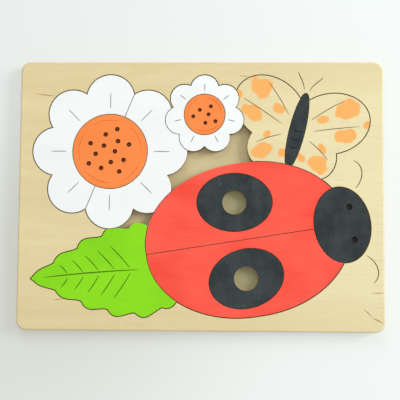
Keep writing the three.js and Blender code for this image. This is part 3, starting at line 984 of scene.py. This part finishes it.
tray = {
    "edgeRound": 1.25,
    "openingEase": 0.32,  # the frame's opening is burnt wider than the loose pieces' edges
    "openingBurn": 0.6,
    "frameGrain": 41,  # shifts that give each sheet its own stretch of grain
    "baseGrain": 53,
    "baseShade": (0.82, 0.82, 0.7954, 1),  # painted shade: the base's top, seen only in the pocket and the holes, is darkened for their shade
    "holeShade": 28,  # across the painted shade under the two finger holes
    "marks": (  # middle, length, width and turn of the reddish streaks in the frame's face
        ((-129, 83), 24, 1.3, -7), ((145, -79), 17, 1.1, 1), ((136, -95), 13, 1.2, -42),
        ((144, -101), 14, 1.6, -24), ((-116, -86), 13, 1.0, 4), ((36, 99), 12, 1.0, -4),
    ),
}
frameWood = bareWood("sanded plywood frame", tray["frameGrain"], sheetLayers, marks=tray["marks"])
# Painted shade: the base is darkened all over its top, and more at the floors of the two finger holes.
holeShadePlaces = [(middle, tray["holeShade"], tray["holeShade"], 0) for middle in spotMiddles]
baseWood = bareWood("plywood base with painted shade", tray["baseGrain"], baseLayers, tray["baseShade"], holeShade=holeShadePlaces)
sawnPiece("tray_frame", "sanded", "tray", frameWood,
          lines=ladybirdAntennae + butterflyAntennae,
          outer=lambda top, bottom: sandedProfile(top, bottom, tray["edgeRound"]),
          inner=lambda top, bottom: sawnProfile(top, bottom, tray["openingEase"], tray["openingBurn"], 0))
sawnPiece("tray_base", "sanded", "tray", baseWood,
          outer=lambda top, bottom: baseProfile(top, bottom, tray["edgeRound"]))
print("puzzle made:", len(bpy.data.materials), "finishes")


# Floor, lights and camera

studio = {
    "floorSize": 6000,
    "floorSquares": 8,  # along each side
    # painted shade: the floor is darker to the left, away from the lamps on the right
    "floor": {
        "left": screen(234, 239, 237), "right": screen(242, 247, 245), "bounds": (-190 * mm, 190 * mm)},
    "mottle": {"waves": (9, 9, 9), "shift": 2, "detail": 2, "reach": 60},
    # painted shadow: a broad darker patch of floor in front to the left of the tray
    "shadowPatch": {"spot": ((-150, -80), 520, 360, 0), "fade": 0.8, "shadeTint": (0.885, 0.87, 0.81, 1)},
    "floorRough": 0.9,
    "floorGlow": 0.52,  # how far the seen floor is lifted out of the shadow
    "skyLight": 0.48,
    "skyColour": (1.0, 1.0, 0.985, 1),
    "lamps": {
        "softbox": {"at": (200, 200, 1400), "size": 900, "watts": 2.1, "colour": (0.99, 1.0, 1.0)},
        "right": {"at": (2400, 800, 1400), "size": 1400, "watts": 58, "colour": (0.98, 1.0, 1.01)},
        "back": {"at": (-500, 2400, 1700), "size": 1500, "watts": 19, "colour": (1.0, 1.0, 0.99)},
    },
}


# 1 for rays that see a thing, straight or mirrored, and 0 for those that light one.
def seenRays(tree):
    rays = addNode(tree, "LightPath", {}).outputs
    mirrored = calc(tree, "MAXIMUM", rays["Is Glossy Ray"], rays["Is Transmission Ray"])
    return calc(tree, "MAXIMUM", rays["Is Camera Ray"], mirrored)


# A pale floor, painted darker to the left and with a painted shadow in front to the left. Its real shadow
# is softened where it is seen.
def floorFinish():
    finish, tree, place = newFinish("pale floor with painted shade")
    floor, mottle, shadowPatch = studio["floor"], studio["mottle"], studio["shadowPatch"]
    along = addNode(tree, "SeparateXYZ", {0: place}).outputs[0]
    strayed = stray(tree, streaks(tree, place, mottle), mottle["reach"] * mm)
    # Painted shade drifting from the darker left to the lighter right.
    shadeDrift = shown(tree, calc(tree, "ADD", along, strayed), floor)
    colour = blendColour(tree, shadeDrift, floor["left"], floor["right"])
    # The painted shadow patch.
    shadowPatchCover = ellipses(tree, place, [shadowPatch["spot"]], shadowPatch["fade"])
    colour = blendColour(tree, shadowPatchCover, colour, shadowPatch["shadeTint"], "MULTIPLY")
    lit = addNode(tree, "BsdfPrincipled", {"Base Color": colour, "Roughness": studio["floorRough"]})
    glow = addNode(tree, "Emission", {"Color": colour, "Strength": 1.0})
    part = calc(tree, "MULTIPLY", seenRays(tree), studio["floorGlow"])
    mixed = addNode(tree, "MixShader", {0: part, 1: lit.outputs[0], 2: glow.outputs[0]})
    addNode(tree, "OutputMaterial", {"Surface": mixed.outputs[0]})
    return finish


# A flat grid, side by side squares from one corner to the other.
def makeFloor():
    span = np.linspace(-studio["floorSize"] / 2, studio["floorSize"] / 2, studio["floorSquares"] + 1)
    x, y = np.meshgrid(span, span)
    shape = emptyShape()
    numbers = addPoints(shape, np.stack([x, y, np.zeros_like(x)], 2), 1, 0)
    addQuads(shape, numbers[::-1], False)
    floor = objectOf("floor", shape, floorFinish())


# A round area light whose back points away from the tray's middle, so that it shines on it.
def makeLamp(name, lamp):
    light = bpy.data.lights.new(name, "AREA")
    light.shape = "DISK"
    light.size = lamp["size"] * mm
    light.energy = lamp["watts"]
    light.color = lamp["colour"]
    made = bpy.data.objects.new(name, light)
    made.location = Vector(lamp["at"]) * mm
    made.rotation_euler = made.location.to_track_quat("Z", "Y").to_euler()
    bpy.context.scene.collection.objects.link(made)


# The sky lights the object at a plain level, and is white where it is seen.
def makeSky():
    world = bpy.data.worlds.new("pale sky")
    world.use_nodes = True
    tree = world.node_tree
    tree.nodes.clear()
    strength = calc(tree, "MULTIPLY_ADD", seenRays(tree), 1 - studio["skyLight"], studio["skyLight"])
    sky = addNode(tree, "Background", {"Color": studio["skyColour"], "Strength": strength})
    addNode(tree, "OutputWorld", {"Surface": sky.outputs[0]})
    bpy.context.scene.world = world


view = {
    "distance": 700,  # from the tray's top face
    "width": 328.2,  # of the picture at that distance
    "leanDown": 4.25,  # degrees that the camera stands off upright, towards the tray's lower edge
    "leanRight": 1.5,
    "roll": 0.37,
    "aim": (-0.36, -4.0),
    "sensor": 36,
    "farthest": 50000,
}


# The camera stands off the aim along a leaning upright. Its lens is to its sensor as the distance is to the
# picture's width there.
def makeCamera():
    camera = bpy.data.cameras.new("camera")
    camera.sensor_width = view["sensor"]
    camera.lens = view["sensor"] * view["distance"] / view["width"]
    camera.clip_end = view["farthest"] * mm
    back = Vector((math.tan(math.radians(view["leanRight"])), -math.tan(math.radians(view["leanDown"])), 1))
    back.normalize()
    right = Vector((0, 1, 0)).cross(back).normalized()
    roll = Matrix.Rotation(math.radians(view["roll"]), 3, "Z")
    turn = Matrix((right, back.cross(right), back)).transposed() @ roll
    aim = Vector((*view["aim"], cadBox[1].z / mm)) * mm
    made = bpy.data.objects.new("camera", camera)
    made.matrix_world = Matrix.Translation(aim + back * view["distance"] * mm) @ turn.to_4x4()
    bpy.context.scene.collection.objects.link(made)
    bpy.context.scene.camera = made


makeFloor()
for name, lamp in studio["lamps"].items():
    makeLamp(name, lamp)
makeSky()
makeCamera()
bpy.context.scene.view_settings.view_transform = "Standard"
print("studio set")
